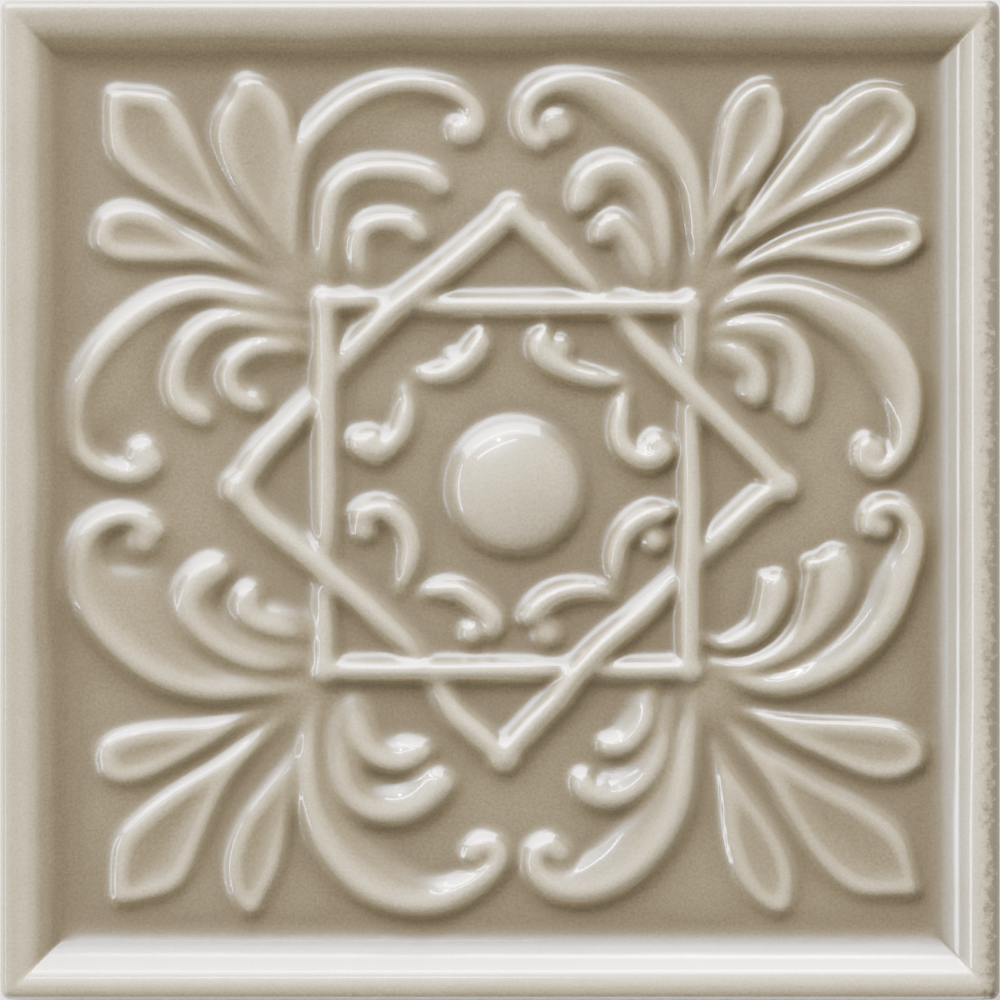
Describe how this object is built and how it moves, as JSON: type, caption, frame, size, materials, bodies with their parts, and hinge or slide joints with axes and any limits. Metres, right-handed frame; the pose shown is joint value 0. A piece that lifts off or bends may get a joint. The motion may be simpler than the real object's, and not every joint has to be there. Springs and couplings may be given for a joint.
{
  "type": "ceramic relief tile",
  "caption": "Square glazed wall tile with a raised moulded border around a sunk panel of woven squares, scrolled leaves, petals and a central boss.",
  "frame": {"origin": "middle of the back, on the plane of its lands, so the middle of the tile's lowest level as it lies", "axes": "+Z out of the glazed face, +X and +Y along the sides of the tile"},
  "size_m": [0.148, 0.148, 0.0124],
  "materials": {
    "glaze": "glossy taupe-grey glaze on the face, thin on the ridges and pooled in the hollows, with bare biscuit on the back"
  },
  "bodies": {
    "root": {"relief_tile": "glaze"}
  },
  "joints": []
}
